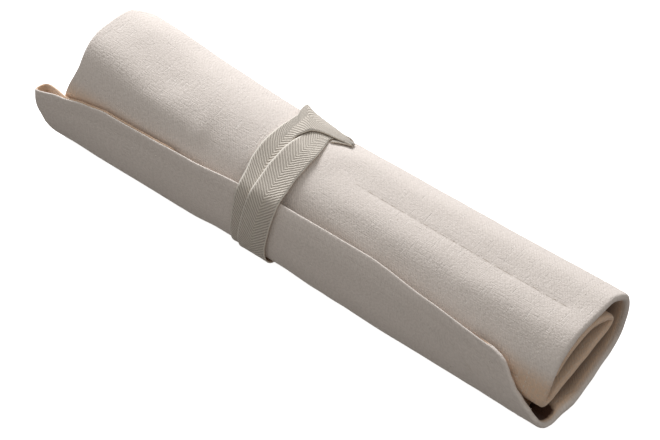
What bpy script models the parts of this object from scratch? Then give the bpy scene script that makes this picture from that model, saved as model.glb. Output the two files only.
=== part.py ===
"""Cotton tool roll for carving gouges, rolled up slack and tied with a herringbone tape.

The roll is one hemmed cloth panel wound into a flat spiral. Its right end is turned in round the bottom
edge of the pocket panel, its left end is folded in as a protective top flap. Every piece is a thin solid
built from two matching grids of points, one for each face of the cloth, tape or thread.

Axes: +X runs along the roll toward the pocket bottoms, -Y is the front with the free flap edge, +Z is up.
Section coordinates are (b, z): b is measured from the back of the roll toward the front, z from the floor.
"""
import math

import bpy

MM = 0.001

# ---- driving sizes, millimetres -------------------------------------------------------------------------
CLOTH_T = 0.9              # cotton drill
POCKET_GAP = 0.45          # air between body panel and pocket panel
TAPE_T = 0.8
THREAD_W = 0.6
THREAD_T = 0.3
CLEAR = 0.15               # thread to cloth
SEAM_DIP = 0.55            # every seam pulls the cloth in by this much
SEAM_HALF = 2.2            # half width of that dip
RIGHT_FOLD = 2.7           # centre distance of the two cloth layers at the pocket bottom hem
LEFT_FOLD = 2.7            # the same at the folded-in top flap
LEFT_FOLD_OPEN = 3.0       # the flap springs open a little along the loose outer turn
HEM_DEPTH = 15.5           # turned-in depth at the right end
TOP_FLAP_DEPTH = 92.0      # folded-in depth at the left end
POCKET_DEPTH = 158.0
ROLL_LEFT = -352.0         # nominal left end, the right end is x = 0
POCKET_PITCH = 50.0
FIRST_SEAM = 60.0          # distance of the first pocket seam from the free flap edge
SEAMS = 7
SIDE_HEM = 8.0             # side hem threads from the two side edges
TAPE_X = -208.0            # middle of the two tape windings

# Spiral section of the roll, from the free flap edge round to the innermost edge.
SECTION = [
    (74.0, 51.5), (80.5, 45.0), (85.5, 33.0), (88.5, 20.0), (87.0, 9.0), (81.0, 2.2), (72.0, 0.45),
    (55.0, 0.45), (30.0, 0.45), (14.0, 1.6), (4.5, 8.0), (0.6, 20.0), (0.3, 33.0), (5.0, 44.0),
    (18.0, 51.5), (36.0, 55.0), (54.0, 53.0), (68.0, 47.0), (77.5, 38.0), (81.2, 28.5), (80.0, 20.6),
    (74.5, 17.2), (68.0, 19.0), (52.0, 23.5), (32.0, 29.0), (17.0, 32.2), (10.8, 36.6), (13.0, 41.2),
    (20.0, 45.4), (30.0, 48.8), (42.0, 50.0), (54.0, 48.2), (64.0, 43.8), (71.0, 37.5),
]
CENTRE_B = 45.0

# Nominal stations along the roll.
STATIONS = [-346.0, -330.0, -300.0, -260.0, -235.0, -222.0, -194.0, -175.0, -157.0, -152.0,
            -105.0, -55.0, -30.0, -18.5, -15.5, -12.5]

# Sideways run of the sheet's two ends round the spiral: (distance from flap edge, shift from nominal).
LEFT_SHIFT = [(0, -26), (25, -26), (40, -21), (55, -14), (80, -6), (150, 4), (175, 6), (190, -1),
              (215, -3), (245, -2), (262, -5), (300, -3), (420, 2)]
RIGHT_SHIFT = [(0, -31), (6, -29), (14, -25.5), (22, -20.5), (29, -14), (36, -8), (44, -3), (56, 0), (66, 2),
               (78, 4), (97, 3), (115, 1.7), (150, 1.2), (172, 0.5), (190, -2), (222, -4.3), (240, -4.7),
               (257, -3.7), (272, -3.8), (288, -2.7), (301, -1.7), (314, -0.8), (340, -0.3), (360, -1.5),
               (381, -3.2), (420, -5)]
# Height factor and width factor along the roll, and the dip of the free flap edge.
HEIGHT = [(-380, 1.32), (-345, 1.27), (-290, 1.15), (-190, 1.03), (-60, 1.0), (20, 1.0)]
WIDTH = [(-380, 1.01), (-345, 1.0), (-290, 0.98), (-190, 0.96), (-60, 0.985), (20, 1.0)]
FLAP_DIP = [(-378, 26), (-355, 21), (-336, 17), (-320, 14), (-287, 12), (-255, 10), (-220, 6), (-190, 3),
            (-125, 2), (-83, 6), (-42, 10), (0, 10)]


def clean_scene():
    for obj in list(bpy.data.objects):
        bpy.data.objects.remove(obj, do_unlink=True)
    for mesh in list(bpy.data.meshes):
        bpy.data.meshes.remove(mesh)


def smooth(t):
    t = max(0.0, min(1.0, t))
    return t * t * (3.0 - 2.0 * t)


def table(rows, x):
    """Smoothly interpolated value of a list of (position, value) rows."""
    if x <= rows[0][0]:
        return rows[0][1]
    for (x0, y0), (x1, y1) in zip(rows, rows[1:]):
        if x <= x1:
            return y0 + (y1 - y0) * smooth((x - x0) / (x1 - x0)) * 0.5 + (y1 - y0) * 0.5 * (x - x0) / (x1 - x0)
    return rows[-1][1]


def catmull(points, steps):
    """Centripetal Catmull-Rom curve through the points."""
    pts = [tuple(2 * a - b for a, b in zip(points[0], points[1]))]
    pts += points
    pts.append(tuple(2 * a - b for a, b in zip(points[-1], points[-2])))
    curve = []
    for p0, p1, p2, p3 in zip(pts, pts[1:], pts[2:], pts[3:]):
        knots = [0.0]
        for a, b in ((p0, p1), (p1, p2), (p2, p3)):
            knots.append(knots[-1] + math.sqrt(math.dist(a, b)))
        t0, t1, t2, t3 = knots
        for k in range(steps):
            t = t1 + (t2 - t1) * k / steps
            row = []
            for c in range(2):
                a1 = ((t1 - t) * p0[c] + (t - t0) * p1[c]) / (t1 - t0)
                a2 = ((t2 - t) * p1[c] + (t - t1) * p2[c]) / (t2 - t1)
                a3 = ((t3 - t) * p2[c] + (t - t2) * p3[c]) / (t3 - t2)
                b1 = ((t2 - t) * a1 + (t - t0) * a2) / (t2 - t0)
                b2 = ((t3 - t) * a2 + (t - t1) * a3) / (t3 - t1)
                row.append(((t2 - t) * b1 + (t - t1) * b2) / (t2 - t1))
            curve.append(tuple(row))
    curve.append(points[-1])
    return curve


CURVE = [(b, max(z, 0.45)) for b, z in catmull(SECTION, 16)]
ARC = [0.0]
for _a, _b in zip(CURVE, CURVE[1:]):
    ARC.append(ARC[-1] + math.dist(_a, _b))
SHEET_W = ARC[-1]


def curve_at(u):
    """Point (b, z) of the base section at arc length u."""
    u = max(0.0, min(SHEET_W, u))
    lo, hi = 0, len(ARC) - 1
    while hi - lo > 1:
        mid = (lo + hi) // 2
        if ARC[mid] <= u:
            lo = mid
        else:
            hi = mid
    f = (u - ARC[lo]) / (ARC[hi] - ARC[lo])
    b = CURVE[lo][0] + (CURVE[hi][0] - CURVE[lo][0]) * f
    z = CURVE[lo][1] + (CURVE[hi][1] - CURVE[lo][1]) * f
    return b, z


def pinch(x):
    """How far the tape lifts the cloth off the floor at x."""
    return 2.5 * smooth((46.0 - abs(x - TAPE_X)) / 24.0)


def placed(u, x):
    """Section point at arc length u and true position x, in (b, z)."""
    dip = table(FLAP_DIP, x)
    if u < 60.0:
        u = u + dip * (1.0 - u / 60.0) ** 2
    b, z = curve_at(u)
    b = CENTRE_B + (b - CENTRE_B) * table(WIDTH, x)
    z = 0.45 + (z - 0.45) * table(HEIGHT, x)
    return b, z + pinch(x) * max(0.0, 1.0 - z / 30.0)


def true_x(u, x):
    """True position of the sheet point with nominal station x."""
    left = table(LEFT_SHIFT, u) * smooth((-150.0 - x) / 202.0)
    right = table(RIGHT_SHIFT, u) * smooth((x + 130.0) / 130.0)
    return x + left + right


def seam_positions():
    return [FIRST_SEAM + POCKET_PITCH * k for k in range(SEAMS)]


def seam_dip(u, x):
    """Inward pull of the stitching on the cloth."""
    dip = max(0.0, 1.0 - abs(x + HEM_DEPTH) / 3.0)
    for edge in (SIDE_HEM, SHEET_W - SIDE_HEM):
        dip = max(dip, 1.0 - abs(u - edge) / SEAM_HALF)
    along = min(1.0, (x + 157.0) / 5.0)
    if along > 0.0 and x < -HEM_DEPTH:
        for seam in seam_positions():
            dip = max(dip, along * (1.0 - abs(u - seam) / SEAM_HALF))
    return SEAM_DIP * dip


def sheet_point(u, x, n):
    """Point of the spiral sheet moved inward by n from the middle of the cloth."""
    tx = true_x(u, x)
    n = n + seam_dip(u, x)
    b, z = placed(u, tx)
    b0, z0 = placed(u - 0.6, tx)
    b1, z1 = placed(u + 0.6, tx)
    size = math.hypot(b1 - b0, z1 - z0)
    nb, nz = (z1 - z0) / size, -(b1 - b0) / size
    return (tx, -(b + nb * n), z + nz * n)


def spaced(curve_fn, start, end, longest, sharpest):
    """Parameters from start to end, closer together where the curve turns."""
    fine = [start + (end - start) * k / 1600.0 for k in range(1601)]
    pts = [curve_fn(t) for t in fine]
    load = [0.0]
    for k in range(1, len(pts)):
        step = math.dist(pts[k - 1], pts[k]) / longest
        if 1 < k < len(pts) - 1:
            a = math.atan2(pts[k][1] - pts[k - 1][1], pts[k][0] - pts[k - 1][0])
            c = math.atan2(pts[k + 1][1] - pts[k][1], pts[k + 1][0] - pts[k][0])
            turn = abs((c - a + math.pi) % (2 * math.pi) - math.pi)
            step += math.degrees(turn) / sharpest
        load.append(load[-1] + step)
    count = max(2, math.ceil(load[-1]))
    out = []
    k = 0
    for i in range(count + 1):
        goal = load[-1] * i / count
        while k < len(load) - 1 and load[k] < goal:
            k += 1
        out.append(fine[k])
    return out


def thick_sheet(name, top, bottom, material):
    """Closed solid between two equal grids of points."""
    rows, cols = len(top), len(top[0])
    verts = [p for row in top for p in row] + [p for row in bottom for p in row]
    half = rows * cols
    faces = []
    for i in range(rows - 1):
        for j in range(cols - 1):
            a, b = i * cols + j, i * cols + j + 1
            c, d = (i + 1) * cols + j + 1, (i + 1) * cols + j
            faces.append((a, b, c, d))
            faces.append((half + d, half + c, half + b, half + a))
    for i in range(rows - 1):
        a, d = i * cols, (i + 1) * cols
        faces.append((a, d, half + d, half + a))
        a, d = a + cols - 1, d + cols - 1
        faces.append((a, half + a, half + d, d))
    for j in range(cols - 1):
        a, b = j, j + 1
        faces.append((a, half + a, half + b, b))
        a, b = a + (rows - 1) * cols, b + (rows - 1) * cols
        faces.append((a, b, half + b, half + a))
    mesh = bpy.data.meshes.new(name)
    mesh.from_pydata([(x * MM, y * MM, z * MM) for x, y, z in verts], [], faces)
    mesh.validate()
    mesh.update()
    volume = 0.0
    for poly in mesh.polygons:
        pts = [mesh.vertices[v].co for v in poly.vertices]
        for k in range(1, len(pts) - 1):
            volume += pts[0].dot(pts[k].cross(pts[k + 1]))
    if volume < 0.0:
        mesh.flip_normals()
    mesh.materials.append(material)
    obj = bpy.data.objects.new(name, mesh)
    bpy.context.scene.collection.objects.link(obj)
    return obj


def make_material(name, colour, roughness):
    mat = bpy.data.materials.new(name)
    mat.use_nodes = True
    node = mat.node_tree.nodes["Principled BSDF"]
    node.inputs["Base Color"].default_value = (*colour, 1.0)
    node.inputs["Roughness"].default_value = roughness
    return mat


# ---- cloth ----------------------------------------------------------------------------------------------

def left_fold(u):
    """Fold width at the left end: open on the outer turn, tight further in."""
    return LEFT_FOLD_OPEN + (LEFT_FOLD - LEFT_FOLD_OPEN) * smooth((u - 25.0) / 60.0)


def body_profile(u):
    """Centre line of the body panel across the roll as (station, inward offset, normal) rows."""
    rows = []
    r = RIGHT_FOLD / 2.0
    rows.append((-HEM_DEPTH, RIGHT_FOLD, 0.0, 1.0))
    for k in range(4):
        a = math.pi / 2 - math.pi * k / 3
        rows.append((-r + r * math.cos(a), r + r * math.sin(a), math.cos(a), math.sin(a)))
    for x in reversed(STATIONS):
        rows.append((x, 0.0, 0.0, -1.0))
    fold = left_fold(u)
    r = fold / 2.0
    for k in range(1, 4):
        a = -math.pi / 2 - math.pi * k / 3
        rows.append((ROLL_LEFT + r + r * math.cos(a), r + r * math.sin(a), math.cos(a), math.sin(a)))
    for f in (0.35, 88.0 / 92.0, 1.0):
        rows.append((ROLL_LEFT + r + TOP_FLAP_DEPTH * f, fold, 0.0, 1.0))
    return rows


def sheet_solid(name, params, profile_fn, thickness, material):
    top, bottom = [], []
    for u in params:
        rows = profile_fn(u)
        top.append([sheet_point(u, x + nx * thickness / 2, n + nn * thickness / 2) for x, n, nx, nn in rows])
        bottom.append([sheet_point(u, x - nx * thickness / 2, n - nn * thickness / 2) for x, n, nx, nn in rows])
    return thick_sheet(name, top, bottom, material)


def pocket_profile(u):
    n = CLOTH_T + POCKET_GAP
    stations = [-POCKET_DEPTH, -155.0, -152.0, -105.0, -55.0, -30.0, -18.5, -15.5, -12.5, -2.2]
    return [(x, n, 0.0, 1.0) for x in stations]


# ---- threads --------------------------------------------------------------------------------------------

def thread_along_roll(name, u, start, end, n, material):
    """Straight seam thread parallel to the roll axis."""
    xs = [start] + [x for x in STATIONS if start + 1.0 < x < end - 1.0] + [end]
    top = [[sheet_point(u + s * THREAD_W / 2, x, n - THREAD_T / 2) for s in (-1, 1)] for x in xs]
    bottom = [[sheet_point(u + s * THREAD_W / 2, x, n + THREAD_T / 2) for s in (-1, 1)] for x in xs]
    return thick_sheet(name, top, bottom, material)


def thread_round_roll(name, params, x_fn, n_fn, material):
    """Hem thread that follows the spiral."""
    top, bottom = [], []
    for u in params:
        x, n = x_fn(u), n_fn(u)
        top.append([sheet_point(u, x + s * THREAD_W / 2, n - THREAD_T / 2) for s in (-1, 1)])
        bottom.append([sheet_point(u, x + s * THREAD_W / 2, n + THREAD_T / 2) for s in (-1, 1)])
    return thick_sheet(name, top, bottom, material)


# ---- tape -----------------------------------------------------------------------------------------------

def hull_at(x):
    """Taut outline round the roll at x as a closed list of (b, z), counter-clockwise."""
    pts = sorted({(round(b, 4), round(z, 4)) for b, z in (placed(SHEET_W * k / 260.0, x) for k in range(261))})

    def half(seq):
        out = []
        for p in seq:
            while len(out) > 1:
                (x0, y0), (x1, y1) = out[-2], out[-1]
                if (x1 - x0) * (p[1] - y0) - (y1 - y0) * (p[0] - x0) > 0:
                    break
                out.pop()
            out.append(p)
        return out

    lower, upper = half(pts), half(reversed(pts))
    return lower[:-1] + upper[:-1]


HULLS = {}


def wrap_point(angle, x):
    """Point (b, z) of the taut outline at a polar angle."""
    key = round(x * 2.0) / 2.0
    if key not in HULLS:
        HULLS[key] = hull_at(key)
    hull = HULLS[key]
    cb, cz = 44.0, 27.0
    db, dz = math.cos(angle), math.sin(angle)
    for (b0, z0), (b1, z1) in zip(hull, hull[1:] + hull[:1]):
        eb, ez = b1 - b0, z1 - z0
        den = db * ez - dz * eb
        if abs(den) < 1e-9:
            continue
        r = ((b0 - cb) * ez - (z0 - cz) * eb) / den
        s = ((b0 - cb) * dz - (z0 - cz) * db) / den
        if r > 0.0 and -1e-6 <= s <= 1.000001:
            return cb + db * r, cz + dz * r
    raise ValueError("no outline point")


def wrap_frame(angle, x, n):
    """Outline point (b, z) at a polar angle, moved out by n."""
    h = 0.05
    b0, z0 = wrap_point(angle - h, x)
    b1, z1 = wrap_point(angle + h, x)
    size = math.hypot(b1 - b0, z1 - z0)
    nb, nz = (z1 - z0) / size, -(b1 - b0) / size
    b, z = wrap_point(angle, x)
    return b + nb * n, z + nz * n


LAYER_1 = CLOTH_T / 2 + 0.4 + TAPE_T / 2
LAYER_2 = LAYER_1 + TAPE_T + 0.35
BACK_TOP = math.radians(140.0)   # polar angle of the crossing, on the top near the back

# The tape's two edges as (turned angle from the crossing toward the front in degrees, x from TAPE_X, layer
# offset). The free end comes first: it leans back over the crossing with its corner sticking up.
TAPE_EDGES = [
    ((-2, 24.5, 2.3), (2.5, 25, 2.6)), ((-5, 19, 2.3), (3.6, 20.5, 2.6)), ((-7, 12, 2.4), (5.5, 15.5, 2.6)),
    ((-8.5, 5, 2.6), (7.2, 10, 2.6)), ((-11, -3, 3.0), (9, 6, 2.6)), ((-12.5, -12, 3.9), (12.5, 2.4, 2.6)),
    ((-13, -19.5, 5.2), (16.5, 0.4, 2.6)), ((-2, -17, 3.4), (22, -0.8, 2.5)), ((5, -14.6, 2.0), (30, -2.3, 2.2)),
    ((17, -14.5, 1.4), (38, -2.5, 1.6)), ((30, -15, LAYER_1), (45, -0.8, LAYER_1)),
    ((44, -15.6, LAYER_1), (52, 1.6, LAYER_1)),
    ((60, -16, LAYER_1), (62, 3.6, LAYER_1)),
    ((80, -15, LAYER_1), (80, 5, LAYER_1)),
    ((94, -12.5, LAYER_1), (94, 7.5, LAYER_1)),
    ((107, -10.5, LAYER_1), (107, 9.5, LAYER_1)),
    ((140, -10, LAYER_1), (140, 10, LAYER_1)),
    ((200, -9, LAYER_1), (200, 11, LAYER_1)),
    ((300, -4, LAYER_1), (300, 16, LAYER_1)),
    ((335, -2, LAYER_1), (335, 17, LAYER_1)),
    ((352, 0.5, LAYER_1), (352, 14, LAYER_1)),
    ((371, 1.0, LAYER_1), (371, 12.4, LAYER_1)), ((381, -0.1, LAYER_1 + 0.1), (381, 14.4, LAYER_1)),
    ((388, -1.0, LAYER_1 + 0.3), (388, 15.5, LAYER_1 + 0.2)),
    ((394, -1.4, LAYER_1 + 0.7), (394, 16.1, LAYER_1 + 0.5)), ((399, -1.8, LAYER_2), (399, 16.5, LAYER_1 + 0.9)),
    ((405, -2.2, LAYER_2), (405, 16.8, LAYER_2)), ((412, -2.6, LAYER_2), (412, 16.8, LAYER_2)),
    ((436, -3.2, LAYER_2), (436, 16.6, LAYER_2)), ((455, -2, LAYER_2), (455, 18, LAYER_2)),
    ((469, -1.3, LAYER_2), (469, 18.7, LAYER_2)),
    ((489, -2.4, LAYER_2), (489, 17.6, LAYER_2)),
    ((507, -3.3, LAYER_2), (507, 16.7, LAYER_2)),
    ((640, -3, LAYER_2 + 0.1), (640, 17, LAYER_2 + 0.1)),
]


def tape_point(place, side, face):
    """Point of the tape; place counts along TAPE_EDGES, side runs 0..1 across, face is +1 outside."""
    k = min(int(place), len(TAPE_EDGES) - 2)
    f = place - k
    edges = [[a + (b - a) * f for a, b in zip(TAPE_EDGES[k][e], TAPE_EDGES[k + 1][e])] for e in (0, 1)]
    turned, x, layer = (a + (b - a) * side for a, b in zip(*edges))
    b, z = wrap_frame(BACK_TOP - math.radians(turned), TAPE_X + x, layer + face * TAPE_T / 2)
    return (TAPE_X + x, -b, z)


def build_tape(material):
    def middle(place):
        _, y, z = tape_point(place, 0.5, -1)
        return (y, z)

    places = spaced(middle, 0.0, len(TAPE_EDGES) - 1.0, 9.0, 11.0)
    places = sorted(set(places) | {float(k) for k in range(len(TAPE_EDGES))})
    places = [p for p, after in zip(places, places[1:] + [1e9]) if after - p > 0.02]
    top = [[tape_point(p, s, 1) for s in (0.0, 0.5, 1.0)] for p in places]
    bottom = [[tape_point(p, s, -1) for s in (0.0, 0.5, 1.0)] for p in places]
    return thick_sheet("tie_tape", top, bottom, material)


# ---- assembly -------------------------------------------------------------------------------------------

def build():
    clean_scene()
    drill = make_material("cotton_drill", (0.80, 0.73, 0.66), 0.9)
    lining = make_material("cotton_drill_pocket", (0.76, 0.69, 0.61), 0.9)
    tape = make_material("herringbone_tape", (0.72, 0.68, 0.60), 0.85)
    thread = make_material("sewing_thread", (0.86, 0.82, 0.76), 0.7)

    seam_us = seam_positions()
    lines = seam_us + [SIDE_HEM, SHEET_W - SIDE_HEM]
    params = [u for u in spaced(curve_at, 0.0, SHEET_W, 15.0, 20.0)
              if all(abs(u - line) > SEAM_HALF + 1.2 for line in lines)]
    params += [line + k * SEAM_HALF for line in lines for k in (-1, 0, 1)]
    params.sort()

    sheet_solid("body_panel", params, body_profile, CLOTH_T, drill)
    inner = [u for u in params if 3.0 < u < SHEET_W - 3.0]
    sheet_solid("pocket_panel", inner, pocket_profile, CLOTH_T, lining)
    build_tape(tape)

    outside = -(CLOTH_T / 2 + CLEAR + THREAD_T / 2)
    pocket_n = CLOTH_T + POCKET_GAP
    inside_pocket = pocket_n - outside
    for k, u in enumerate(seam_us, 1):
        thread_along_roll(f"pocket_seam_needle_thread_{k}", u, -152.0, -18.5, outside, thread)
        thread_along_roll(f"pocket_seam_bobbin_thread_{k}", u, -152.0, -18.5, inside_pocket, thread)
    thread_round_roll("pocket_bottom_hem_thread", inner, lambda u: -15.5, lambda u: outside, thread)
    mouth = [u for u in inner if 5.0 < u < SHEET_W - 5.0]
    thread_round_roll("pocket_mouth_hem_thread", mouth, lambda u: -155.0,
                      lambda u: inside_pocket, thread)
    thread_round_roll("top_flap_hem_thread", inner, lambda u: ROLL_LEFT + left_fold(u) / 2 + 88.0,
                      lambda u: left_fold(u) + outside, thread)
    thread_along_roll("side_hem_thread_outer", SIDE_HEM, -330.0, -18.5, outside, thread)
    thread_along_roll("side_hem_thread_inner", SHEET_W - SIDE_HEM, -330.0, -18.5, outside, thread)

    objects = [o for o in bpy.data.objects if o.type == "MESH"]
    lows = [min(v.co[c] for o in objects for v in o.data.vertices) for c in range(3)]
    highs = [max(v.co[c] for o in objects for v in o.data.vertices) for c in range(3)]
    shift = [-(lows[0] + highs[0]) / 2, -(lows[1] + highs[1]) / 2, -lows[2]]
    for obj in objects:
        for v in obj.data.vertices:
            v.co = [v.co[c] + shift[c] for c in range(3)]
        obj.data.update()


build()
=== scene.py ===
"""Looks of the rolled cotton tool roll: cloth, pockets, stitching, herringbone tape, light and camera."""
import math

import bpy
import numpy as np
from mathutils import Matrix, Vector


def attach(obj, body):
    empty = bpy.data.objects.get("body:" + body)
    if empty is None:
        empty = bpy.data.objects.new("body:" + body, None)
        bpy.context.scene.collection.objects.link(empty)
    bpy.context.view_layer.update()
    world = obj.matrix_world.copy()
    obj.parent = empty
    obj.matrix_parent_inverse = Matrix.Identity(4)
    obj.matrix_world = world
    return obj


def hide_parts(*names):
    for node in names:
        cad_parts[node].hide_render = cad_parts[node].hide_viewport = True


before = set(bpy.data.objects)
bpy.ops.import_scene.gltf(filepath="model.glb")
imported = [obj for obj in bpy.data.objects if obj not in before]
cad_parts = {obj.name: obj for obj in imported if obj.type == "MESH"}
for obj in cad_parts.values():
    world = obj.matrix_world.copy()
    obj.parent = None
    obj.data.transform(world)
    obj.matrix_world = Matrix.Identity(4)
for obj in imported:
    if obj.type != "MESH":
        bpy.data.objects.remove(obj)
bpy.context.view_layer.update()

MM = 0.001

# ---- the roll's own sizes in millimetres, as in the CAD, with freer rims and folds ----------------------
CAD_SHIFT = (187.206, 44.620)   # from roll coordinates (x, b) to the CAD frame
# Middle of the cloth across the roll as (b, z), from the free flap edge round to the innermost edge.
SECTION = [
    (74.0, 51.5), (80.5, 45.0), (85.5, 33.0), (88.5, 20.0), (87.0, 9.0), (81.0, 2.2), (72.0, 0.45),
    (55.0, 0.45), (30.0, 0.45), (14.0, 1.6), (4.5, 8.0), (0.6, 20.0), (0.3, 33.0), (5.0, 44.0),
    (18.0, 51.5), (36.0, 55.0), (54.0, 53.0), (68.0, 47.0), (77.5, 38.0), (81.2, 28.5), (80.0, 20.6),
    (74.5, 17.2), (68.0, 19.0), (52.0, 23.5), (32.0, 29.0), (17.0, 32.2), (10.8, 36.6), (13.0, 41.2),
    (20.0, 45.4), (30.0, 48.8), (42.0, 50.0), (54.0, 48.2), (64.0, 43.8), (71.0, 37.5),
]
CENTRE_B = 45.0
GROUND = 0.45                  # height of the middle of the cloth where the roll rests
LOWEST = 0.36                  # no layer's middle goes below this
ROLL_LEFT = -352.0
HEM_DEPTH = 15.5
TOP_FLAP_DEPTH = 92.0
POCKET_DEPTH = 158.0
POCKET_PITCH = 50.0
FIRST_SEAM = 60.0
SEAMS = 7
SIDE_HEM = 8.0
TAPE_X = -208.0
TAPE_W = 20.0
# How far the two rims lean along the roll, by arc length from the free flap edge.
LEFT_SHIFT = [(0, -26), (25, -26), (40, -21), (55, -14), (80, -6), (120, 2), (150, 9), (165, 10), (178, 4),
              (190, -3), (215, -3), (240, 0), (262, -5), (300, -3), (420, 2)]
RIGHT_SHIFT = [(0, -40), (2, -34.5), (5, -31), (9, -28.3), (14, -25.5), (22, -20.5), (29, -14), (36, -8),
               (44, -3), (56, 0), (66, 2), (78, 4), (97, 3), (115, 1.7), (150, 1.2), (172, 0.5), (190, -2),
               (222, -4.3), (240, -4.7), (257, -3.7), (272, -3.8), (288, -2.7), (301, -1.7), (314, -0.8),
               (340, -0.3), (360, -1.5), (381, -3.2), (420, -5)]
# Height factor and width factor along the roll, and the dip of the free flap edge.
HEIGHT = [(-380, 1.32), (-345, 1.27), (-290, 1.15), (-190, 1.03), (-60, 1.0), (20, 1.0)]
WIDTH = [(-380, 1.01), (-345, 1.0), (-290, 0.98), (-190, 0.96), (-60, 0.985), (20, 1.0)]
FLAP_DIP = [(-378, 26), (-355, 21), (-336, 17), (-320, 14), (-287, 12), (-255, 10), (-220, 6), (-190, 3),
            (-125, 2), (-83, 6), (-42, 10), (0, 10)]
DIP_REACH = 60.0               # the dip fades out over this length from the free edge

# ---- looks only -----------------------------------------------------------------------------------------
CLOTH_T = 0.7
SIDE_FOLD = 0.85               # centre distance of the two layers of the side hems
SIDE_TURN = 9.5                # turned-in width of the side hems
POCKET_N = 1.35                # pocket cloth under the body cloth
POCKET_INSET = 10.6            # from the side edges of the body cloth to those of the pocket cloth
POCKET_FOOT = 2.4              # from the pocket bottom hem's fold to the pocket cloth
FLAP_GAP = 2.8                 # centre distance of the folded-in top flap
STITCH = 3.0                   # stitch pitch
THREAD_R = 0.17
STITCH_POINTS = 5              # rings along one stitch
STITCH_SIDES = 6               # points round one ring
SEAM_RUN = (-154.0, -17.5)     # ends of the pocket seams along the roll
SIDE_RUN = (-346.0, -4.0)      # ends of the side hem stitching


def smooth(t):
    t = np.clip(t, 0.0, 1.0)
    return t * t * (3.0 - 2.0 * t)


def table(rows, x):
    """Value of a list of (position, value) rows, half smoothstep and half linear."""
    xs = np.array([r[0] for r in rows], float)
    ys = np.array([r[1] for r in rows], float)
    x = np.clip(x, xs[0], xs[-1])
    k = np.clip(np.searchsorted(xs, x, side="right") - 1, 0, len(xs) - 2)
    f = (x - xs[k]) / (xs[k + 1] - xs[k])
    return ys[k] + (ys[k + 1] - ys[k]) * 0.5 * (smooth(f) + f)


def catmull(points, steps):
    """Centripetal Catmull-Rom curve through the points."""
    p = np.array(points, float)
    p = np.vstack([2 * p[0] - p[1], p, 2 * p[-1] - p[-2]])
    curve = []
    for p0, p1, p2, p3 in zip(p, p[1:], p[2:], p[3:]):
        t0 = 0.0
        t1 = t0 + math.sqrt(math.dist(p0, p1))
        t2 = t1 + math.sqrt(math.dist(p1, p2))
        t3 = t2 + math.sqrt(math.dist(p2, p3))
        t = (t1 + (t2 - t1) * np.arange(steps) / steps)[:, None]
        a1 = ((t1 - t) * p0 + (t - t0) * p1) / (t1 - t0)
        a2 = ((t2 - t) * p1 + (t - t1) * p2) / (t2 - t1)
        a3 = ((t3 - t) * p2 + (t - t2) * p3) / (t3 - t2)
        b1 = ((t2 - t) * a1 + (t - t0) * a2) / (t2 - t0)
        b2 = ((t3 - t) * a2 + (t - t1) * a3) / (t3 - t1)
        curve.append(((t2 - t) * b1 + (t - t1) * b2) / (t2 - t1))
    curve.append(p[-2][None])
    return np.vstack(curve)


CURVE = catmull(SECTION, 16)
CURVE[:, 1] = np.maximum(CURVE[:, 1], GROUND)
ARC = np.concatenate([[0.0], np.cumsum(np.hypot(*np.diff(CURVE, axis=0).T))])
SHEET_W = ARC[-1]


def arc_of(point):
    """Arc length of the section point nearest to a given (b, z)."""
    return ARC[np.argmin(np.hypot(CURVE[:, 0] - point[0], CURVE[:, 1] - point[1]))]


TIP_BACK = arc_of((10.8, 36.6))
TIP_FRONT = arc_of((80.0, 20.6))
TOP_BACK = arc_of((14.0, 49.5))
SEAM_US = [FIRST_SEAM + POCKET_PITCH * k for k in range(SEAMS)]


def noise(seed, u, x, pitch_u, pitch_x):
    """Smooth lattice noise over the sheet, -1 to 1."""
    rng = np.random.default_rng(seed)
    gu = np.asarray(u, float) / pitch_u + 12.0
    gx = np.asarray(x, float) / pitch_x + 400.0 / pitch_x + 8.0
    gu, gx = np.broadcast_arrays(gu, gx)
    lattice = rng.uniform(-1.0, 1.0, (int(440 / pitch_u) + 24, int(520 / pitch_x) + 24))
    iu, ix = np.floor(gu).astype(int), np.floor(gx).astype(int)
    fu, fx = smooth(gu - iu), smooth(gx - ix)
    a = lattice[iu, ix] * (1 - fu) + lattice[iu + 1, ix] * fu
    b = lattice[iu, ix + 1] * (1 - fu) + lattice[iu + 1, ix + 1] * fu
    return a * (1 - fx) + b * fx


def bump(value, centre, half):
    return np.exp(-((value - centre) / half) ** 2)


def placed(u, x):
    """Section point at arc length u and true position x, as b and z."""
    fade = (1.0 - np.minimum(u, DIP_REACH) / DIP_REACH) ** 2
    u = np.where(u < DIP_REACH, u + table(FLAP_DIP, x) * fade, u)
    b = np.interp(u, ARC, CURVE[:, 0])
    z = np.interp(u, ARC, CURVE[:, 1])
    b = CENTRE_B + (b - CENTRE_B) * table(WIDTH, x)
    z = GROUND + (z - GROUND) * table(HEIGHT, x)
    # The inner turn's back tip lies looser at the right end, and the tape lifts the resting side a little.
    slack = bump(u, TIP_BACK, 24.0) * smooth((x + 70.0) / 55.0)
    b, z = b + 5.2 * slack, z - 3.4 * slack
    lifted = 2.5 * smooth((46.0 - np.abs(x - TAPE_X)) / 24.0)
    return b, z + lifted * np.maximum(0.0, 1.0 - z / 30.0)


def true_x(u, x):
    left = table(LEFT_SHIFT, u) * smooth((-150.0 - x) / 202.0)
    right = table(RIGHT_SHIFT, u) * smooth((x + 130.0) / 130.0)
    return x + left + right


def from_edge(w, x):
    """Arc parameter of the point w millimetres from the free flap edge, blending into w further on."""
    dip = table(FLAP_DIP, x)
    a = dip / DIP_REACH ** 2
    b = 1.0 - 2.0 * dip / DIP_REACH
    near = (-b + np.sqrt(b * b + 4.0 * a * np.maximum(w, 0.0))) / (2.0 * a)
    near = np.where(near < DIP_REACH, near, w + dip)
    s = smooth((w - 15.0) / 60.0)
    return near * (1.0 - s) + w * s


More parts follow.
